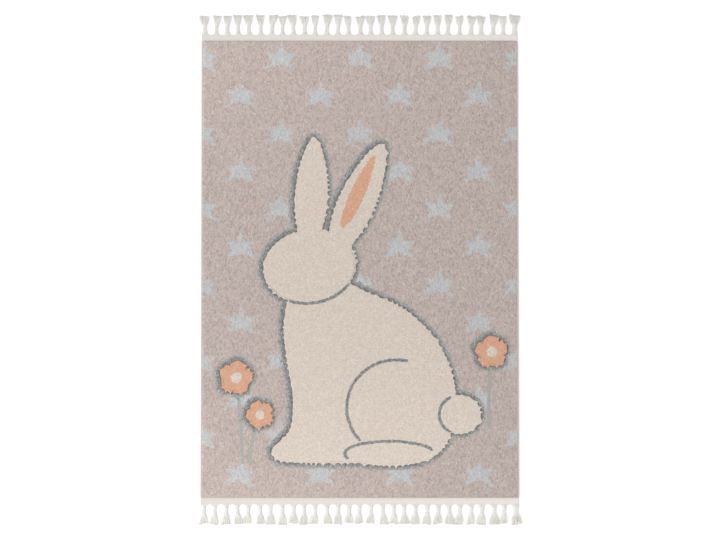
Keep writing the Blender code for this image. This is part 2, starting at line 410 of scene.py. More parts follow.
def star_outlines():
    """The ground's stars in their rows, each turned a little more or less."""
    outlines = []
    for row in range(STAR_ROWS):
        y = STAR_TOP - row * STAR_ROW
        for column in STAR_COLUMNS:
            x = (column + 0.5 * (row % 2)) * STAR_STEP
            tilt = STAR_TILT + STAR_TILT_PLAY * vary(row * 9 + column + 3, STAR_TURN)
            outlines.append(star_points(x, y, tilt))
    return outlines


def line_distance(points, line, closed=False):
    """How far each point lies from a line of points."""
    ends = np.roll(line, -1, axis=0) if closed else line[1:]
    nearest = np.full(len(points), FAR)
    for start, end in zip(line, ends):
        edge = end - start
        share = np.clip((points - start) @ edge / (edge @ edge), 0, 1)
        away = points - start - share[:, None] * edge
        nearest = np.minimum(nearest, np.hypot(away[:, 0], away[:, 1]))
    return nearest


def outside_by(points, outline, reach):
    """How far each point lies outside an outline, below 0 inside. Beyond reach it is only large."""
    found = np.full(len(points), FAR)
    low, high = outline.min(0) - reach, outline.max(0) + reach
    close = np.all((points > low) & (points < high), axis=1)
    near = points[close]
    inside = np.zeros(len(near), bool)
    for start, end in zip(outline, np.roll(outline, -1, axis=0)):
        if start[1] == end[1]:
            continue
        crosses = (start[1] > near[:, 1]) != (end[1] > near[:, 1])
        slope = (end[0] - start[0]) / (end[1] - start[1])
        inside ^= crosses & (near[:, 0] < start[0] + (near[:, 1] - start[1]) * slope)
    distance = line_distance(near, outline, closed=True)
    found[close] = np.where(inside, -distance, distance)
    return found


def outside_all(points, outlines, reach=OUTLINE_REACH):
    """How far each point lies outside the nearest of several outlines."""
    return np.minimum.reduce([outside_by(points, outline, reach) for outline in outlines])


RABBIT_OUTLINES = [
    ear_points(FAR_EAR),
    ear_points(NEAR_EAR),
    oval_points(HEAD),
    smooth_loop(BODY),
    oval_points(TAIL),
    oval_points(HIND_FOOT),
]
FLOWER_OUTLINES = [flower_points(flower) for flower in FLOWERS]
MOTIF_OUTLINES = RABBIT_OUTLINES + FLOWER_OUTLINES
RABBIT_LINES = [oval_points(*arc) for arc in LINES]


def outside_stems(points):
    """How far points lie outside the flowers' stems, which bend a little towards their feet."""
    found = np.full(len(points), FAR)
    for flower in FLOWERS:
        bend = STEM_BEND if flower.foot_x > flower.x else -STEM_BEND
        middle = ((flower.x + flower.foot_x) / 2 + bend, (flower.y + flower.foot_y) / 2)
        head, foot = (flower.x, flower.y), (flower.foot_x, flower.foot_y)
        t = np.linspace(0, 1, 12)[:, None]
        line = np.array(head) * (1 - t) ** 2 + 2 * np.array(middle) * t * (1 - t)
        found = np.minimum(found, line_distance(points, line + np.array(foot) * t**2))
    return found - STEM_WIDTH / 2


# Meshes

Form = namedtuple("Form", "points faces values")

# A face with more sides than this is a flat underside or end
ROUND_SIDES = 8


def together(forms):
    """Several forms as one. Faces are arrays, one for each number of corners."""
    faces, start = [], 0
    for form in forms:
        faces += [part + start for part in form.faces]
        start += len(form.points)
    points = np.concatenate([form.points for form in forms])
    keys = forms[0].values
    values = {key: np.concatenate([form.values[key] for form in forms]) for key in keys}
    return Form(points, faces, values)


def piece_of(name, form, finishes, nodes, face_finish=None):
    """A form as a piece of the rug, which rides on the one body."""
    mesh = bpy.data.meshes.new(name)
    faces = [face for part in form.faces for face in part.tolist()]
    mesh.from_pydata(form.points.tolist(), [], faces)
    for key, values in form.values.items():
        if values.ndim == 1:
            layer = mesh.attributes.new(key, "FLOAT", "POINT")
            layer.data.foreach_set("value", values.astype(np.float32))
        else:
            layer = mesh.attributes.new(key, "FLOAT_VECTOR", "POINT")
            layer.data.foreach_set("vector", values.astype(np.float32).ravel())
    for finish in finishes:
        mesh.materials.append(finish)
    if face_finish is not None:
        mesh.polygons.foreach_set("material_index", face_finish)
    mesh.shade_smooth()
    mesh.polygons.foreach_set("use_smooth", [len(face) <= ROUND_SIDES for face in faces])
    piece = bpy.data.objects.new(name, mesh)
    bpy.context.scene.collection.objects.link(piece)
    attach(piece, "root")
    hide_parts(*nodes)
    return piece


def tubes(paths, radii, sideways, sides, own, closed=False):
    """Yarns along paths, which are (yarn, point, xyz). No path runs in the direction sideways."""
    paths = np.asarray(paths, float)
    yarns, points = paths.shape[:2]
    radii = np.broadcast_to(radii, (yarns, points))
    if closed:
        along = np.roll(paths, -1, axis=1) - np.roll(paths, 1, axis=1)
    else:
        along = np.gradient(paths, axis=1)
    along /= np.linalg.norm(along, axis=2, keepdims=True)
    side = np.broadcast_to(np.asarray(sideways, float), paths.shape)
    side = side - (side * along).sum(2, keepdims=True) * along
    side = side / np.linalg.norm(side, axis=2, keepdims=True)
    up = np.cross(along, side)
    angle = 2 * np.pi * (np.arange(sides) + 0.5) / sides
    ring = side[:, :, None] * np.cos(angle)[:, None] + up[:, :, None] * np.sin(angle)[:, None]
    places = paths[:, :, None] + radii[:, :, None, None] * ring
    index = np.arange(yarns * points * sides).reshape(yarns, points, sides)
    here = index if closed else index[:, :-1]
    there = np.roll(index, -1, axis=1) if closed else index[:, 1:]
    corners = (here, np.roll(here, -1, 2), np.roll(there, -1, 2), there)
    faces = [np.stack(corners, -1).reshape(-1, 4)]
    if not closed:
        faces += [index[:, 0, ::-1], index[:, -1]]
    steps = np.linalg.norm(np.diff(paths, axis=1, prepend=paths[:, :1]), axis=2)
    length = np.repeat(np.cumsum(steps, axis=1)[:, :, None], sides, axis=2)
    turn = np.broadcast_to(angle, length.shape)
    values = {
        "yarn_length": length.ravel(),
        "yarn_turn": np.stack((np.cos(turn), np.sin(turn), 0 * turn), -1).reshape(-1, 3),
        "yarn_own": np.repeat(own, points * sides),
    }
    return Form(places.reshape(-1, 3), faces, values)


def lattice(low, high, pitch):
    """Points on a square lattice, as (row, column, xy)."""
    columns = np.arange(low[0], high[0] + pitch, pitch)
    rows = np.arange(low[1], high[1] + pitch, pitch)
    return np.stack(np.meshgrid(columns, rows), axis=-1)


def lattice_faces(kept):
    """Faces between kept lattice points: squares, and triangles where one corner is missing."""
    index = np.arange(kept.size).reshape(kept.shape)
    corners = (index[:-1, :-1], index[:-1, 1:], index[1:, 1:], index[1:, :-1])
    corners = np.stack(corners, -1).reshape(-1, 4)
    there = kept.ravel()[corners]
    squares = corners[there.all(1)]
    triangles = []
    for missing in range(4):
        others = [(missing + k) % 4 for k in (1, 2, 3)]
        found = ~there[:, missing] & there[:, others].all(1)
        triangles.append(corners[found][:, others])
    return squares, np.concatenate(triangles)


def border(shape):
    """The points round a lattice of this many rows and columns, in order."""
    index = np.arange(shape[0] * shape[1]).reshape(shape)
    return np.concatenate((index[0, :-1], index[:-1, -1], index[-1, :0:-1], index[:0:-1, 0]))


def wall(upper, lower):
    """Squares between two rings of points, one below the other."""
    return np.stack((lower, np.roll(lower, -1), np.roll(upper, -1), upper), -1)


def rim_of(faces):
    """The loops of points, in order, along the open rim of faces."""
    edges = np.concatenate(
        [np.stack((part, np.roll(part, -1, axis=1)), -1).reshape(-1, 2) for part in faces]
    )
    known = {tuple(edge) for edge in edges.tolist()}
    following = {b: a for a, b in known if (b, a) not in known}
    loops = []
    while following:
        start, at = next(iter(following.items()))
        loop = [start]
        del following[start]
        while at != start:
            loop.append(at)
            at = following.pop(at)
        loops.append(loop)
    return loops


def swell(points, scale, seed):
    """A gentle unevenness from -1 to 1, without a repeat."""
    random = np.random.default_rng(seed)
    total = np.zeros(len(points))
    for _ in range(6):
        facing, start = random.random(2) * 2 * np.pi
        length = scale * (0.7 + 0.8 * random.random())
        total += np.sin(points @ (np.cos(facing), np.sin(facing)) * 2 * np.pi / length + start)
    return total / 6


def raised_form(outlines):
    """High pile inside outlines: a lumpy top, rounded down at its rim to sink in the ground."""
    every = np.concatenate(outlines)
    low, high = every.min(0) - RAISED_MARGIN, every.max(0) + RAISED_MARGIN
    grid = lattice(low, high, RAISED_LATTICE)
    gap = outside_all(grid.reshape(-1, 2), outlines).reshape(grid.shape[:2])
    slope = np.stack(np.gradient(gap, RAISED_LATTICE)[::-1], -1)
    slope /= np.maximum(np.linalg.norm(slope, axis=2, keepdims=True), 1e-6)
    snap = np.abs(gap) < RAISED_LATTICE / 2
    grid = np.where(snap[:, :, None], grid - gap[:, :, None] * slope, grid)
    gap = np.where(snap, 0.0, gap)
    squares, triangles = lattice_faces(gap < RAISED_LATTICE / 2)
    corners = np.concatenate((squares.ravel(), triangles.ravel()))
    used, back = np.unique(corners, return_inverse=True)
    faces = [back[: squares.size].reshape(-1, 4), back[squares.size :].reshape(-1, 3)]
    flat, gap = grid.reshape(-1, 2)[used], gap.ravel()[used]
    away, own = tufts(flat, RAISED_TUFT, 0.50, SEEDS["high_tufts"])
    lump = 1 - np.minimum(away / 0.70, 1.2) ** 2
    rise = 1 - (1 - np.clip(-gap / RIM_ROUNDING, 0, 1)) ** 2
    line_gap = np.full(len(flat), FAR)
    for line in RABBIT_LINES:
        line_gap = np.minimum(line_gap, line_distance(flat, line))
    groove = np.clip(1 - (line_gap / (0.8 * LINE_WIDTH)) ** 2, 0, 1)
    height = GROUND_HEIGHT - RAISED_SINK + (RELIEF + RAISED_SINK) * rise
    swelling = HIGH_SWELL_RISE * swell(flat, HIGH_SWELL, SEEDS["high_swell"])
    height += rise * (TUFT_RISE * lump + swelling - LINE_DEPTH * groove)
    loops = rim_of(faces)
    for loop in loops:
        height[loop] = GROUND_HEIGHT - RAISED_SINK
    faces += [np.array([loop]) for loop in loops]
    values = {
        "peach_gap": outside_all(flat, [ear_points(INNER_EAR)]),
        "line_gap": line_gap - LINE_WIDTH / 2,
        # How deep a point lies between the lumps, for painted shade in the hollows
        "hollow": np.clip(1 - lump, 0, 1),
        "tuft_own": own,
        "rim_gap": gap,
    }
    return Form(np.column_stack((flat, height)), faces, values)


# Materials


def maths(operation, *values):
    """A Math node on values, at least one of which is a signal."""
    finish = next(value.finish for value in values if isinstance(value, Signal))
    return finish.node("ShaderNodeMath", {"operation": operation}, values)


class Signal:
    """A shader output that stands in Python expressions as a number."""

    def __init__(self, finish, socket):
        self.finish = finish
        self.socket = socket

    def __getitem__(self, output):
        return Signal(self.finish, self.socket.node.outputs[output])

    def __add__(self, other):
        return maths("ADD", self, other)

    def __sub__(self, other):
        return maths("SUBTRACT", self, other)

    def __rsub__(self, other):
        return maths("SUBTRACT", other, self)

    def __mul__(self, other):
        return maths("MULTIPLY", self, other)

    def __lt__(self, other):
        return maths("LESS_THAN", self, other)

    def __gt__(self, other):
        return maths("GREATER_THAN", self, other)

    __radd__ = __add__
    __rmul__ = __mul__

    def step(self, low, high):
        """0 below low and 1 above high, with a soft rise between them."""
        settings = {"interpolation_type": "SMOOTHSTEP"}
        values = {"Value": self, "From Min": low, "From Max": high}
        return self.finish.node("ShaderNodeMapRange", settings, values)


class Finish:
    """One material. What varies goes to its colour, roughness and bump only."""

    def __init__(self, name, roughness, sheen=0.0, specular=0.25):
        self.material = bpy.data.materials.new(name)
        self.material.use_nodes = True
        self.tree = self.material.node_tree
        self.shader = self.tree.nodes["Principled BSDF"]
        self.shader.inputs["Roughness"].default_value = roughness
        self.shader.inputs["Sheen Weight"].default_value = sheen
        self.shader.inputs["Sheen Roughness"].default_value = 0.6
        self.shader.inputs["Specular IOR Level"].default_value = specular

    def node(self, kind, settings, values, output=0):
        """Adds a node: settings first, then the values or links of its sockets."""
        made = self.tree.nodes.new(kind)
        for key, value in settings.items():
            if key == "stops":
                self.set_stops(made.color_ramp, value)
            else:
                setattr(made, key, value)
        for key, value in values.items() if isinstance(values, dict) else enumerate(values):
            self.feed(made.inputs[key], value)
        return Signal(self, made.outputs[output])

    def feed(self, socket, value):
        """Links a socket to a signal, or gives it a plain value."""
        if isinstance(value, Signal):
            self.tree.links.new(value.socket, socket)
        else:
            socket.default_value = value

    def set_stops(self, ramp, stops):
        while len(ramp.elements) < len(stops):
            ramp.elements.new(1.0)
        for element, (place, colour) in zip(ramp.elements, stops):
            element.position = place
            element.color = colour

    def value(self, name):
        """A value that the mesh carries at its points."""
        return self.node("ShaderNodeAttribute", {"attribute_name": name}, {}, "Fac")

    def place(self):
        return self.node("ShaderNodeTexCoord", {}, {}, "Object")

    def stretched(self, vector, sizes):
        """A place measured in cells of these sizes."""
        cells = tuple(1 / size for size in sizes)
        return self.node("ShaderNodeVectorMath", {"operation": "MULTIPLY"}, (vector, cells))

    def ruffled(self, vector, size, reach):
        """A place pushed about a little, so that edges between cells aren't straight."""
        push = self.noise(vector, (size, size, size), 1.0)["Color"]
        settings = {"operation": "MULTIPLY_ADD"}
        return self.node("ShaderNodeVectorMath", settings, (push, (reach, reach, 0.0), vector))

    def parts(self, vector):
        """A place, direction or colour as its three numbers."""
        made = self.node("ShaderNodeSeparateXYZ", {}, (vector,))
        return made["X"], made["Y"], made["Z"]

    def cells(self, vector, sizes, randomness):
        """Upright cells: how far a place is from a cell's middle, and under Color its colour."""
        settings = {"voronoi_dimensions": "2D"}
        cells = self.stretched(vector, (*sizes, 1.0))
        values = {"Vector": cells, "Scale": 1.0, "Randomness": randomness}
        return self.node("ShaderNodeTexVoronoi", settings, values, "Distance")

    def noise(self, vector, sizes, detail=2.0):
        values = {"Vector": self.stretched(vector, sizes), "Scale": 1.0, "Detail": detail}
        return self.node("ShaderNodeTexNoise", {}, values)

    def wave(self, along, pitch):
        """A wave from -1 to 1 with this pitch."""
        return maths("SINE", along * (2 * math.pi / pitch))

    def tones(self, signal, *colours):
        """One of several yarn colours, by a value from 0 to 1."""
        stops = [(i / len(colours), colour) for i, colour in enumerate(colours)]
        made = self.node("ShaderNodeValToRGB", {"stops": stops}, (signal,))
        made.socket.node.color_ramp.interpolation = "CONSTANT"
        return made

    def mix(self, first, second, share):
        """The first colour with a share of the second."""
        values = {0: share, 6: first, 7: second}
        return self.node("ShaderNodeMix", {"data_type": "RGBA"}, values, 2)

    def finish(self, colour, shade=None, height=None, depth=0.001, strength=0.8):
        """The material: its colour, times a shade, and a bump from height, where they are given."""
        if shade is not None:
            values = {0: colour, "Scale": shade}
            colour = self.node("ShaderNodeVectorMath", {"operation": "SCALE"}, values)
        self.feed(self.shader.inputs["Base Color"], colour)
        if height is not None:
            values = {"Height": height, "Distance": depth, "Strength": strength}
            bump = self.node("ShaderNodeBump", {}, values)
            self.feed(self.shader.inputs["Normal"], bump)
        return self.material


# Yarn colours as they look in the light, which is LIGHT_LEVEL times as bright as plain white
LIGHT_LEVEL = 1.145


def linear(value):
    """A display value from 0 to 1 as the share of light that it stands for."""
    return value / 12.92 if value < 0.04045 else ((value + 0.055) / 1.055) ** 2.4


def dyed(*shown):
    """Yarn colours of their own, from those that they show in the light, 0 to 255."""
    return [(*(linear(value / 255) / LIGHT_LEVEL for value in colour), 1.0) for colour in shown]


# The ground's yarns, from the darkest to the palest. Those in the middle come most often
GROUND_YARNS = dyed(
    (177, 163, 158),
    (187, 171, 166),
    (195, 180, 173),
    (201, 187, 180),
    (208, 188, 180),
    (211, 202, 195),
)
STAR_YARNS = dyed((189, 190, 191), (197, 198, 200), (203, 204, 206), (210, 210, 210))
OUTLINE_YARNS = dyed((114, 115, 115), (136, 138, 138), (155, 156, 155), (177, 177, 174))
CREAM = dyed((220, 207, 195), (216, 202, 190), (224, 212, 200))
PEACH = dyed((218, 167, 138), (213, 161, 131), (224, 175, 147))
COTTON = dyed((251, 249, 246), (247, 243, 238), (254, 253, 250))
ROOT_COTTON, SKIRT_COTTON = dyed((242, 238, 233), (245, 243, 234))
TAPE = dyed((236, 230, 223), (241, 235, 229))
WHIPPING = dyed((222, 205, 198), (216, 197, 189))
BACKING = dyed((206, 194, 178), (190, 176, 160))


def painted_light(finish, middle, right=0.0, top=0.0, ends=0.0, left_ends=0.0):
    """A slow change of painted light and shade over the rug: right and top for each metre that way
    from the rug's middle, ends and left_ends by the square of the way to either end."""
    x, y, _ = finish.parts(finish.place())
    return middle + right * x + top * y + y * y * (ends - left_ends * x)


def ground_pile():
    """Short heathered pile. A tuft has one yarn, also where a star or the grey line ends."""
    f = Finish("ground_pile", roughness=0.95, sheen=0.25)
    place = f.place()
    x, _, _ = f.parts(place)
    ruffled = f.ruffled(place, PILE_RUFFLE, PILE_RUFFLE_REACH)
    tuft = f.cells(ruffled, GROUND_TUFT, 0.80)
    pick, edge, light = f.parts(tuft["Color"])
    run = f.cells(ruffled, GROUND_RUN, 0.90)
    run_pick, run_edge, run_light = f.parts(run["Color"])
    ply = f.cells(ruffled, GROUND_PLY, 0.90)
    fibres = f.noise(place, PILE_FIBRE, 3.0)
    yarn = f.tones(0.55 * run_pick + 0.45 * pick, *GROUND_YARNS)
    star_yarn = f.tones(0.5 * light + 0.5 * run_pick, *STAR_YARNS)
    motif_gap, outline_gap = f.value("motif_gap"), f.value("outline_gap")
    # The grey line is darker next to the motif: partly darker yarn, partly painted shade from the
    # high pile
    outline_pick = 0.55 * pick + 0.35 * run_light + 19.0 * outline_gap - 0.12
    outline_yarn = f.tones(outline_pick, *OUTLINE_YARNS)
    wander = (edge - 0.5) * YARN_WANDER + (run_edge - 0.5) * YARN_WANDER
    star_gap = f.value("star_gap")
    kept = 0.86 - 0.30 * star_gap.step(-0.020, 0.004)
    star = (star_gap + 1.3 * wander < 0.0) * (0.5 * pick + 0.5 * run_light < kept)
    outline = outline_gap + 1.5 * wander < OUTLINE_WIDTH
    stem = f.value("stem_gap") + wander * 0.5 < 0.0
    colour = f.mix(yarn, star_yarn, star)
    colour = f.mix(colour, outline_yarn, maths("MAXIMUM", outline, stem))
    # Painted shade in the gaps between tufts and between plies
    shade = 1.06 - 0.19 * tuft.step(0.25, 0.80) - 0.08 * ply.step(0.20, 0.90)
    shade = shade + (light - 0.5) * 0.05
    shade = shade * (0.95 + 0.10 * f.noise(place, PILE_STREAK))
    shade = shade * (0.98 + 0.04 * f.noise(place, PILE_PATCH))
    # Painted light and shade: darker mid-length, paler towards the ends, most of all on the left
    shade = shade * painted_light(f, 0.882, right=-0.006, top=-0.010, ends=0.063, left_ends=0.050)
    # Painted shade on the low pile next to the high pile
    shade = shade * (0.88 + 0.12 * motif_gap.step(0.000, 0.012))
    # Painted light on the outermost tufts of the long sides
    shade = shade * (1 + 0.075 * (x * x).step(PAINTED_LIGHT_RIM_FROM**2, PAINTED_LIGHT_RIM_TO**2))
    shade = shade * (0.95 + 0.10 * fibres)
    height = 0.55 * (1 - tuft.step(0.05, 0.80)) + 0.15 * (1 - ply.step(0.10, 0.90))
    height = height + 0.45 * fibres
    return f.finish(colour, shade, height, depth=0.0018)


def raised_pile():
    """High pile: cream, with peach and grey laid in tuft by tuft; its rim grey, partly painted
    shade.
    """
    f = Finish("raised_pile", roughness=0.92, sheen=0.35)
    place = f.place()
    own, hollow = f.value("tuft_own"), f.value("hollow")
    ruffled = f.ruffled(place, PILE_RUFFLE, PILE_RUFFLE_REACH)
    tuft = f.cells(ruffled, RAISED_YARN, 0.80)
    ply = f.cells(ruffled, RAISED_PLY, 0.90)
    pick, edge, light = f.parts(tuft["Color"])
    fibres = f.noise(place, PILE_FIBRE, 3.0)
    cream = f.tones(own, *CREAM)
    peach = f.tones(pick, *PEACH)
    grey = f.tones(0.8 * pick, *OUTLINE_YARNS)
    wander = (own - 0.5) * 0.006 + (edge - 0.5) * 0.003
    colour = f.mix(cream, peach, f.value("peach_gap") + wander < 0.0)
    line = f.value("line_gap") + wander * 0.6 < 0.0
    # Grey at the rim: partly the grey outline yarn, partly painted shade under the rim tufts
    rim = f.value("rim_gap") + wander * 0.6 > -RIM_GREY_AND_SHADE
    colour = f.mix(colour, grey, maths("MAXIMUM", line, rim))
    # Painted shade in the hollows between lumps and in the gaps between tufts and plies
    shade = 0.978 - 0.15 * hollow - 0.10 * tuft.step(0.3, 0.8) - 0.06 * ply.step(0.2, 0.9)
    shade = shade + 0.09 * fibres + (light - 0.5) * 0.06
    # Painted light: the high pile paler towards the rug's ends, most towards its foot
    shade = shade * painted_light(f, 1.003, top=-0.011, ends=0.11)
    height = 0.55 * (1 - tuft.step(0.1, 0.8)) + 0.15 * (1 - ply.step(0.1, 0.9))
    height = height + 0.45 * fibres
    return f.finish(colour, shade, height, depth=0.0020)


def rim_yarn():
    """The tufts that lean out over the motif's rim."""
    f = Finish("rim_yarn", roughness=0.92, sheen=0.35)
    own, peach_share = f.value("yarn_own"), f.value("peach_share")
    colour = f.mix(f.tones(own, *CREAM), f.tones(own, *PEACH), peach_share > 0.5)
    # Painted highlight: the rim tufts paler than the high pile, as if they catch more light
    shade = 1.07 + (own - 0.5) * 0.08
    fibres = f.noise(f.place(), RIM_FIBRE, 3.0)
    # Painted light: paler towards the rug's ends, most towards its foot
    shade = shade * painted_light(f, 1.003, top=-0.011, ends=0.11)
    return f.finish(colour, shade, fibres, depth=0.0010, strength=0.7)


def plied_yarn(name, colours, ply=0.0042, depth=0.0007):
    """Plied yarn: a twist runs round each strand. Its skirts are darker and yellower, their tips
    paler.
    """
    f = Finish(name, roughness=0.88, sheen=0.20)
    own = f.value("yarn_own")
    place = f.place()
    _, y, _ = f.parts(place)
    turn = f.node("ShaderNodeAttribute", {"attribute_name": "yarn_turn"}, {}, "Vector")
    turn_x, turn_y, _ = f.parts(turn)
    phase = f.value("yarn_length") * (2 * math.pi / ply)
    twist = maths("SINE", phase) * turn_x + maths("COSINE", phase) * turn_y
    fibres = f.noise(place, COTTON_FIBRE)
    skirt = (y * y).step(SKIRT_TONE_FROM**2, SKIRT_TONE_TO**2)
    tips = (y * y).step(TIP_TONE_FROM**2, TIP_TONE_TO**2)
    # Painted shade along the grooves of the twist
    shade = 0.99 + 0.025 * twist + 0.04 * (fibres - 0.5)
    # Painted light: the yarn darker towards the top end of the rug
    shade = shade * painted_light(f, 0.972, top=-0.024)
    # The skirts darker where they begin, and their tips paler
    shade = shade * (1 - 0.034 * skirt + 0.052 * tips)
    colour = f.mix(f.tones(own, *colours), SKIRT_COTTON, 0.5 * skirt)
    height = 0.5 * twist + 0.5 * fibres
    return f.finish(colour, shade, height, depth, strength=0.6)


def woven_tape():
    """Plain-woven tape with ribs along it."""
    f = Finish("woven_tape", roughness=0.9, sheen=0.15)
    place = f.place()
    x, y, _ = f.parts(place)
    weave = 0.5 + 0.2 * f.wave(x, TAPE_WEAVE[0]) + 0.3 * f.wave(y, TAPE_WEAVE[1])
    fibres = f.noise(place, TAPE_FIBRE)
    colour = f.mix(*TAPE, f.noise(place, TAPE_PATCH))
    # Painted shade between the threads of the weave
    shade = 0.95 + 0.06 * weave + 0.04 * (fibres - 0.5)
    # Painted light: the tape paler towards the right, darker towards the top end
    shade = shade * painted_light(f, 0.952, right=0.060, top=-0.009)
    height = weave + 0.3 * fibres
    return f.finish(colour, shade, height, depth=0.0006)


def whipping_yarn():
    """Yarn wrapped round the edge, with a groove between its turns."""
    f = Finish("whipping_yarn", roughness=0.9, sheen=0.2)
    place = f.place()
    fibres = f.noise(place, WHIPPING_FIBRE)
    colour = f.mix(*WHIPPING, f.noise(place, WHIPPING_PATCH))
    # Painted shade in the grooves between the turns
    shade = 1.02 - 0.16 * f.value("groove") + 0.06 * (fibres - 0.5)
    # Painted light: the whipping darker towards the right
    shade = shade * painted_light(f, 0.975, right=-0.045)
    return f.finish(colour, shade, fibres, depth=0.0005, strength=0.7)


def woven_back():
    """The rug's back: a plain weave in which the ground's colour shows faintly."""
    f = Finish("woven_back", roughness=0.95)
    place = f.place()
    x, y, _ = f.parts(place)
    weave = 0.5 + 0.5 * f.wave(x, BACK_WEAVE[0]) * f.wave(y, BACK_WEAVE[1])
    knot = f.cells(place, BACK_KNOT, 0.3)
    pick, _, _ = f.parts(knot["Color"])
    colour = f.mix(f.mix(*BACKING, pick), GROUND_YARNS[2], 0.30)
    # Painted shade between the threads of the weave
    return f.finish(colour, 0.86 + 0.14 * weave, weave, depth=0.0008)


# Pieces


def rug_cloth():
    """The low pile and its woven back, one closed cloth with a soft, slightly uneven rim."""
    half_width = FIELD_WIDTH / 2 - WHIPPING_WIDTH - SEAM_GAP
    half_length = FIELD_LENGTH / 2

    def steps(half):
        inner = half - CLOTH_ROUNDING
        count = round(2 * inner / GROUND_LATTICE)
        rim = np.array((-half - CLOTH_OVERHANG, -half + CLOTH_ROUNDING / 3))
        return np.concatenate((rim, np.linspace(-inner, inner, count + 1), -rim[::-1]))

    flat = np.stack(np.meshgrid(steps(half_width), steps(half_length)), axis=-1)
    shape = flat.shape[:2]
    flat = flat.reshape(-1, 2)
    inset = np.minimum(half_width - np.abs(flat[:, 0]), half_length - np.abs(flat[:, 1]))
    motif_gap = outside_all(flat, MOTIF_OUTLINES)
    away, _ = tufts(flat, CLOTH_LUMP, 0.9, SEEDS["cloth_lumps"])
    uneven = CLOTH_LUMP_RISE * (1 - np.minimum(away, 1.2) ** 2)
    uneven += CLOTH_SWELL_RISE * swell(flat, CLOTH_SWELL, SEEDS["cloth_swell"])
    random = np.random.default_rng(SEEDS["cloth_tufts"])
    uneven += CLOTH_TUFT_PLAY * random.uniform(-1, 1, len(flat))
    uneven -= MOTIF_SINK * np.exp(-((np.maximum(motif_gap, 0) / MOTIF_SINK_REACH) ** 2))
    rounding = (1 - np.clip(inset / CLOTH_ROUNDING, 0, 1)) ** 2
    height = GROUND_HEIGHT - CLOTH_RIM_DROP * rounding + uneven * (1 - rounding)
    top = np.column_stack((flat, height))
    squares, _ = lattice_faces(np.ones(shape, bool))
    rim = border(shape)
    sides = np.clip(flat[rim], (-half_width, -half_length), (half_width, half_length))
    waist = np.column_stack((sides, np.full(len(rim), GROUND_HEIGHT - CLOTH_RIM_DEPTH)))
    waist_ring = len(top) + np.arange(len(rim))
    foot_ring = waist_ring + len(rim)
    walls = np.concatenate((wall(rim, waist_ring), wall(waist_ring, foot_ring)))
    every = np.concatenate((flat, flat[rim], flat[rim]))
    values = {
        "motif_gap": np.concatenate((motif_gap, motif_gap[rim], motif_gap[rim])),
        "outline_gap": outside_all(every - OUTLINE_SHIFT, MOTIF_OUTLINES),
        "star_gap": outside_all(every, star_outlines(), STAR_REACH),
        "stem_gap": outside_stems(every),
    }
    points = np.concatenate((top, waist, waist * (1, 1, 0)))
    form = Form(points, [squares, walls, foot_ring[None, ::-1]], values)
    face_finish = np.zeros(len(squares) + len(walls) + 1, np.int32)
    face_finish[-1] = 1
    finishes = [ground_pile(), woven_back()]
    return piece_of("rug_cloth", form, finishes, ["pile_rug"], face_finish)


def rabbit_pile(finish):
    """The sitting rabbit in high pile."""
    form = raised_form(RABBIT_OUTLINES)
    return piece_of("rabbit_pile", form, [finish], ["pile_rug"])


def flower_pile(finish):
    """The flowers in high pile, each with a round heart and grooves between its petals."""
    forms = []
    for flower, outline in zip(FLOWERS, FLOWER_OUTLINES):
        form = raised_form([outline])
        away = np.hypot(form.points[:, 0] - flower.x, form.points[:, 1] - flower.y)
        form.values["peach_gap"] = FLOWER_HEART * flower.radius - away
        angle = np.arctan2(form.points[:, 1] - flower.y, form.points[:, 0] - flower.x)
        between = np.abs(np.sin(PETALS * (angle - math.radians(flower.turn)) / 2))
        form.values["line_gap"] = np.full(len(away), FAR)
        groove = np.clip(between * 3 - 2, 0, 1) * (away > 0.30 * flower.radius)
        form.points[:, 2] -= PETAL_DEPTH * groove
        forms.append(form)
    return piece_of("flower_pile", together(forms), [finish], ["pile_rug"])


def rim_spots(outline, group, random):
    """Places where an outline is the motif's rim, the way out from each, and how tufts clump."""
    lengths = np.linalg.norm(np.roll(outline, -1, axis=0) - outline, axis=1)
    marks = np.concatenate(([0], np.cumsum(lengths)))
    loop = np.concatenate((outline, outline[:1]))
    count = round(marks[-1] / RIM_TUFT_STEP)
    at = (np.arange(count) + random.uniform(-0.3, 0.3, count)) * marks[-1] / count

    def spots(along):
        return np.column_stack([np.interp(along, marks, loop[:, axis]) for axis in (0, 1)])

    run = spots(at + 0.002) - spots(at - 0.002)
    run /= np.linalg.norm(run, axis=1, keepdims=True)
    x, y = outline.T
    turning = np.sign(np.sum(x * np.roll(y, -1) - y * np.roll(x, -1)))
    out = turning * np.column_stack((run[:, 1], -run[:, 0]))
    phase = np.pi * at / RIM_CLUMP + 1.3 * np.sin(at / 0.061) + 0.7 * np.sin(at / 0.027)
    clump, pull = np.sin(phase) ** 2, turning * np.sin(2 * phase)
    clump = clump * (0.75 + 0.45 * np.sin(at / 0.039 + 1.7 * np.sin(at / 0.110)))
    kept = outside_all(spots(at), group) > -RIM_SPOT_DEPTH
    return spots(at)[kept], out[kept], clump[kept], pull[kept]


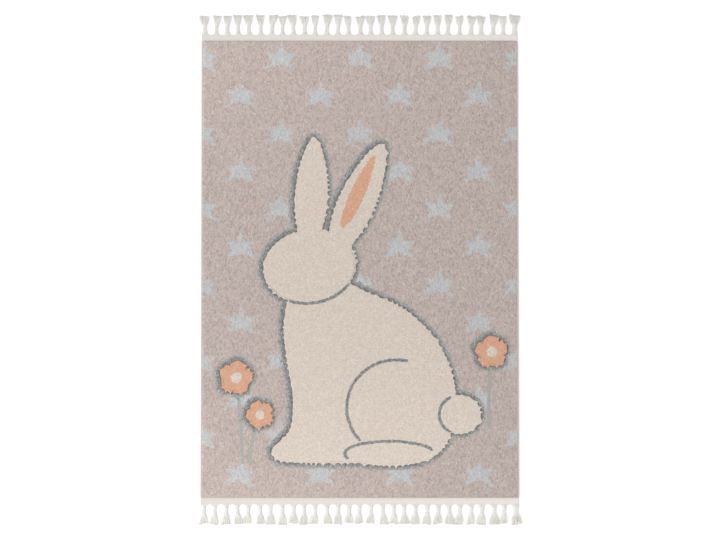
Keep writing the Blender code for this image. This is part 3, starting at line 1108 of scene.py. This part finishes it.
def rim_tufts():
    """Tufts along the motif's rim. They come out of the high pile and lean over its edge."""
    random = np.random.default_rng(SEEDS["rim_tufts"])
    outlines = [(outline, RABBIT_OUTLINES, 0.0) for outline in RABBIT_OUTLINES]
    outlines += [(outline, FLOWER_OUTLINES, 1.0) for outline in FLOWER_OUTLINES]
    t = np.linspace(0, 1, len(RIM_TUFT_RADII))[None]
    forms = []
    for outline, group, peach_share in outlines:
        for row in RIM_ROWS:
            spots, out, clump, pull = rim_spots(outline, group, random)
            count = len(spots)
            lean = 0.5 + 0.5 * out @ RIM_LEAN
            # On the side that they lean to, tufts reach far in a clump and fall back between
            gather = (0.0050 + 0.0118 * lean) * clump
            reach = 0.0012 * (1 - lean) + gather - 0.0040 * lean
            reach = row.reach * reach * random.uniform(0.78, 1.15, count)
            reach = reach + random.uniform(-0.0010, 0.0010, count)
            swing = np.radians(26 * pull + random.uniform(-14, 14, count))[:, None]
            side = np.column_stack((-out[:, 1], out[:, 0]))
            facing = out * np.cos(swing) + side * np.sin(swing)
            along = (reach[:, None] + row.inset) * t
            flat = (spots - out * row.inset)[:, None] + facing[:, None] * along[:, :, None]
            height = row.high + 0.0012 * np.sin(np.pi * t) - (row.high - row.low) * t**2.2
            height = height + random.uniform(-0.0005, 0.0005, (count, 1))
            paths = np.concatenate((flat, height[:, :, None]), axis=2)
            radii = np.multiply(RIM_TUFT_RADII, random.uniform(0.8, 1.1, (count, 1)))
            sideways = np.column_stack((side, np.zeros(count)))[:, None]
            form = tubes(paths, radii, sideways, 4, own=random.random(count))
            form.values["peach_share"] = np.full(len(form.points), peach_share)
            forms.append(form)
    return piece_of("rim_tufts", together(forms), [rim_yarn()], ["pile_rug"])


def whipped_edge(name, side, node, finish):
    """Yarn wound round the long side. Its turns slant round a flattened cord."""
    rings = round(FIELD_LENGTH / WHIPPING_STEP) + 1
    along = np.linspace(-FIELD_LENGTH / 2, FIELD_LENGTH / 2, rings)
    angle = 2 * np.pi * (np.arange(WHIPPING_SIDES) + 0.5) / WHIPPING_SIDES
    y, turn = np.meshgrid(along, angle, indexing="ij")
    rib = 0.5 + 0.5 * np.cos(2 * np.pi * y / WHIPPING_PITCH + turn)
    size = 1 - WHIPPING_GROOVE * (1 - rib) ** 1.5
    size *= np.sqrt(np.clip((FIELD_LENGTH / 2 + 0.0005 - np.abs(y)) / WHIPPING_END, 0, 1))
    across = np.sign(np.cos(turn)) * np.abs(np.cos(turn)) ** 0.7
    up = np.sign(np.sin(turn)) * np.abs(np.sin(turn)) ** 0.7
    middle = side * (FIELD_WIDTH - WHIPPING_WIDTH) / 2
    x = middle + WHIPPING_FULLNESS * WHIPPING_WIDTH / 2 * size * across
    z = WHIPPING_HEIGHT / 2 * (1 + size * up)
    index = np.arange(y.size).reshape(y.shape)
    here, there = index[:-1], index[1:]
    corners = (here, there, np.roll(there, -1, 1), np.roll(here, -1, 1))
    faces = [np.stack(corners, -1).reshape(-1, 4), index[:1], index[-1:, ::-1]]
    form = Form(np.stack((x, y, z), -1).reshape(-1, 3), faces, {"groove": 1 - rib.ravel()})
    return piece_of(name, form, [finish], [node])


def tape(where, end, finish):
    """The woven tape that carries the tassels."""
    x = np.linspace(-FIELD_WIDTH / 2, FIELD_WIDTH / 2, 481)
    share = np.concatenate(([0.0, 0.03], np.linspace(0.1, 0.9, 13), [0.97, 1.0]))
    grid_x, grid_share = np.meshgrid(x, share)
    y = FIELD_LENGTH / 2 + SEAM_GAP + TAPE_WIDTH[where] * grid_share
    rise = 1 - (2 * np.abs(grid_share - 0.5)) ** 6
    rib = TAPE_RIB_HEIGHT * np.sin(grid_share * 2 * np.pi * TAPE_RIBS)
    z = TAPE_EDGE_HEIGHT + (TAPE_THICKNESS - TAPE_EDGE_HEIGHT + rib) * rise
    top = np.stack((grid_x, y, z), -1).reshape(-1, 3)
    squares, _ = lattice_faces(np.ones(grid_x.shape, bool))
    rim = border(grid_x.shape)
    under = len(top) + np.arange(len(rim))
    points = np.concatenate((top, top[rim] * (1, 1, 0))) * (1, end, 1)
    faces = [squares, wall(rim, under), under[None, ::-1]]
    if end < 0:
        faces = [part[:, ::-1] for part in faces]
    form = Form(points, faces, {})
    return piece_of(f"tape_{where}", form, [finish], [f"fringe_{where}"])


def tape_stitches(where, end, finish):
    """Two rows of machine stitches that hold the tape."""
    count = int((FIELD_WIDTH - 2 * STITCH_MARGIN) / STITCH_PITCH)
    middles = -FIELD_WIDTH / 2 + STITCH_MARGIN + STITCH_PITCH * np.arange(count)
    t = np.linspace(-0.5, 0.5, 3)
    x = middles[:, None] + t * STITCH_LENGTH
    z = TAPE_THICKNESS + 0.0001 - 0.0009 * (2 * np.abs(t)) ** 3
    forms = []
    for share in STITCH_ROWS:
        y = end * (FIELD_LENGTH / 2 + SEAM_GAP + TAPE_WIDTH[where] * share)
        paths = np.stack(np.broadcast_arrays(x, y, z), -1)
        own = np.full(count, LAST_TONE)
        forms.append(tubes(paths, STITCH_RADIUS, (0, 1, 0), 4, own))
    form = together(forms)
    return piece_of(f"tape_stitches_{where}", form, [finish], [f"fringe_{where}"])


def tassel_x(number):
    """Where a tassel stands along its tape."""
    column = number % TASSELS
    play = 0 if column in (0, TASSELS - 1) else TASSEL_PLACE_PLAY * vary(number, PLACE)
    return (column - (TASSELS - 1) / 2) * TASSEL_PITCH + play


def tassel_roots(placed, stem, fillet):
    """Yarns that leave the tape side by side and are drawn together, in a round fillet."""
    across = np.linspace(-1, 1, ROOT_YARNS)[:, None]
    out, height, narrower = np.transpose(ROOT_COURSE)
    drawn = np.clip(fillet - np.maximum(out, 0), 0, fillet)
    width = STEM_HALF_WIDTH * stem + fillet - np.sqrt(fillet**2 - drawn**2) - narrower
    lift = ROOT_LIFT * np.cos(np.pi * across / 2) * (out > 0)
    paths = placed(across * width, out[None], height + lift)
    return tubes(paths, ROOT_YARN_RADIUS, (1, 0, 0), 4, own=np.full(ROOT_YARNS, LAST_TONE))


def tassel_braid(placed, own, stem, start):
    """A braid of three strands of three yarns."""
    along = np.linspace(BRAID_FROM, BRAID_TO, 14)
    turns = 2 * np.pi * (along - BRAID_FROM) / BRAID_REPEAT + start
    paths = []
    for strand in range(3):
        phase = turns + 2 * np.pi * strand / 3
        for yarn in range(3):
            twist = 2 * np.pi * (along / STRAND_REPEAT + yarn / 3)
            side = BRAID_HALF_WIDTH * np.sin(phase) + STRAND_RADIUS * np.cos(twist)
            rise = BRAID_HALF_HEIGHT * np.sin(2 * phase) + STRAND_RADIUS * np.sin(twist)
            paths.append(placed(stem * side, along, BRAID_HEIGHT + rise))
    radius = BRAID_YARN_RADIUS * (0.4 + 0.6 * stem)
    return tubes(paths, radius, (1, 0, 0), 5, own=own(len(paths)))


def tassel_neck(placed, own, stem):
    """Turns of yarn that tie the braid off above the skirt."""
    turn = 2 * np.pi * np.arange(14) / 14
    paths = []
    for tie in NECK_TURNS:
        side = NECK_HALF_WIDTH * stem * tie.size * np.cos(turn)
        rise = NECK_HEIGHT + NECK_HALF_HEIGHT * tie.size * np.sin(turn)
        out = NECK + tie.out + tie.slant * np.cos(turn)
        paths.append(placed(side, out, np.maximum(rise, NECK_LOWEST)))
    return tubes(paths, NECK_YARN_RADIUS, (0, 1, 0), 5, own=own(len(paths)), closed=True)


def tassel_skirt(placed, own, swell_size, spread, length, locks, random):
    """Loose strands in layers, which swell out below the neck, fan out and part in locks."""
    fan = np.linspace(-1, 1, SKIRT_STRANDS) + random.uniform(-0.04, 0.04, SKIRT_STRANDS)
    fan = fan[:, None]
    layer = (np.arange(SKIRT_STRANDS) % SKIRT_LAYERS)[:, None]
    t = np.array((0, 0.06, 0.12, 0.18, 0.24, 0.34, 0.50, 0.75, 1.0))[None]
    split = 0.0030 * np.sign(fan - random.uniform(-0.8, 0.8)) * random.uniform(-1, 1)
    tip = length + split + random.uniform(-0.0018, 0.0018, (SKIRT_STRANDS, 1))
    start = SKIRT[0].out
    out = start + (tip - start) * t
    marks = [section.out for section in SKIRT]
    widths = [section.half_width * swell_size for section in SKIRT[:-1]]
    widths.append(SKIRT[-1].half_width * spread)
    middle = (np.round((fan + 1) / 2 * locks - 0.5) + 0.5) / locks * 2 - 1
    fan = fan + (middle - fan) * random.uniform(0.10, 0.45) * t**1.5
    side = fan * np.interp(out, marks, widths)
    waves = random.uniform(0.8, 1.6, (SKIRT_STRANDS, 1))
    sway = np.sin(2 * np.pi * (t * waves + random.random((SKIRT_STRANDS, 1))))
    side = side + 0.0006 * sway * t
    rise = (0.0030 + 0.0028 * layer) * (1 - t) + (0.0015 + 0.0013 * layer) * t
    rise = rise + 0.0018 * np.sin(np.pi * t**0.5) * (1 - 0.7 * fan**2)
    radii = SKIRT_YARN_RADIUS * (1 + 0.15 * t)
    return tubes(placed(side, out, rise), radii, (1, 0, 0), 4, own=own(SKIRT_STRANDS))


def tassel(number, where, end, random):
    """One tassel: roots, braid, neck and skirt."""
    shade = 0.5 + 0.5 * vary(number, SHADE)

    def placed(across, out, height, start=TASSEL_FROM[where]):
        """Paths by their place across, out from the start and above the floor."""
        lean = TASSEL_LEAN * vary(number, LEAN) * (np.maximum(out, 0) / TASSEL_LENGTH) ** 1.5
        x = tassel_x(number) + lean + across
        y = end * (FIELD_LENGTH / 2 + SEAM_GAP + start + out)
        return np.stack(np.broadcast_arrays(x, y, height), -1)

    def placed_root(across, out, height):
        """Paths that start at the tape's edge and stay within its ends."""
        paths = placed(across, out, height, TAPE_WIDTH[where])
        limit = FIELD_WIDTH / 2 - ROOT_INSET
        return np.clip(paths, (-limit, -FAR, -FAR), (limit, FAR, FAR))

    def own(count):
        return OTHER_TONES * (0.25 * shade + 0.75 * random.random(count))

    girth = WIDE_STEMS.get(number, 1 + STEM_PLAY * vary(number, GIRTH))
    stem = STEM_SIZE[where] * girth
    spread = 1 + TASSEL_SPREAD_PLAY * vary(number, SPREAD)
    spread = SPREAD_SIZE[where] * (WIDEST_TASSEL if number in WIDE_SKIRTS else spread)
    length = TASSEL_LENGTH * (1 + TASSEL_LENGTH_PLAY * vary(number, LENGTH))
    locks = 3 + number % 3
    forms = [
        tassel_roots(placed_root, stem, ROOT_FILLET[where]),
        tassel_braid(placed, own, stem, vary(number, BRAID_START) * math.pi),
        tassel_neck(placed, own, stem),
        tassel_skirt(placed, own, SWELL_SIZE[where] * girth, spread, length, locks, random),
    ]
    return together(forms)


def tassels(where, end, first, finish):
    """All tassels of one end. None of their yarns lies below the floor."""
    random = np.random.default_rng(SEEDS[f"tassels_{where}"])
    form = together([tassel(first + place, where, end, random) for place in range(TASSELS)])
    form.points[:, 2] = np.maximum(form.points[:, 2], 0.0)
    return piece_of(f"tassels_{where}", form, [finish], [f"fringe_{where}"])


# Stage


def make_floor():
    """A plain pale floor just under the rug."""
    mesh = bpy.data.meshes.new("floor")
    size = FLOOR_HALF_SIZE
    corners = [(-size, -size, 0), (size, -size, 0), (size, size, 0), (-size, size, 0)]
    mesh.from_pydata(corners, [], [(0, 1, 2, 3)])
    floor = bpy.data.objects.new("floor", mesh)
    floor.location.z = -FLOOR_DROP
    bpy.context.scene.collection.objects.link(floor)
    finish = Finish("pale_floor", roughness=0.9, specular=0.0)
    grain = finish.noise(finish.place(), (2.0, 2.0, 2.0), 1.0)
    mesh.materials.append(finish.finish(finish.mix(*FLOOR_GREYS, grain)))


def make_camera():
    """Looks almost straight down, a little from the foot of the rug."""
    data = bpy.data.cameras.new("camera")
    data.sensor_width = 36.0
    data.lens = data.sensor_width * CAMERA_DISTANCE / (PICTURE_WIDTH * METRES_PER_PIXEL)
    camera = bpy.data.objects.new("camera", data)
    back = Vector((0, -math.sin(CAMERA_TILT), math.cos(CAMERA_TILT)))
    camera.location = Vector(CAMERA_TARGET) + CAMERA_DISTANCE * back
    camera.rotation_euler = (CAMERA_TILT, 0, 0)
    bpy.context.scene.collection.objects.link(camera)
    bpy.context.scene.camera = camera


def make_lights():
    """An even room, and a wide window from the left."""
    world = bpy.data.worlds.new("soft_room")
    world.use_nodes = True
    background = world.node_tree.nodes["Background"]
    background.inputs["Color"].default_value = (1.0, 1.0, 1.0, 1.0)
    background.inputs["Strength"].default_value = ROOM_LIGHT
    bpy.context.scene.world = world
    data = bpy.data.lights.new("window", "AREA")
    data.shape = "RECTANGLE"
    data.size, data.size_y = WINDOW_SIZE
    data.energy = WINDOW_POWER
    light = bpy.data.objects.new("window", data)
    light.location = WINDOW_PLACE
    light.rotation_euler = (-light.location).to_track_quat("-Z", "Y").to_euler()
    bpy.context.scene.collection.objects.link(light)


def main():
    bpy.context.scene.view_settings.view_transform = "Standard"
    make_camera()
    make_lights()
    make_floor()
    cloth = rug_cloth()
    high = raised_pile()
    pieces = [rabbit_pile(high), flower_pile(high), rim_tufts()]
    wrapped = whipping_yarn()
    for side, hand in ((-1, "left"), (1, "right")):
        pieces.append(whipped_edge(f"whipped_edge_{hand}", side, f"whipping_{hand}", wrapped))
    cotton = plied_yarn("tassel_cotton", (*COTTON, ROOT_COTTON))
    thread = plied_yarn("stitch_thread", COTTON, ply=0.0016, depth=0.0002)
    woven = woven_tape()
    for where, end, first in (("top", 1, 0), ("bottom", -1, TASSELS)):
        pieces.append(tape(where, end, woven))
        pieces.append(tape_stitches(where, end, thread))
        pieces.append(tassels(where, end, first, cotton))


main()
bpy.context.view_layer.update()
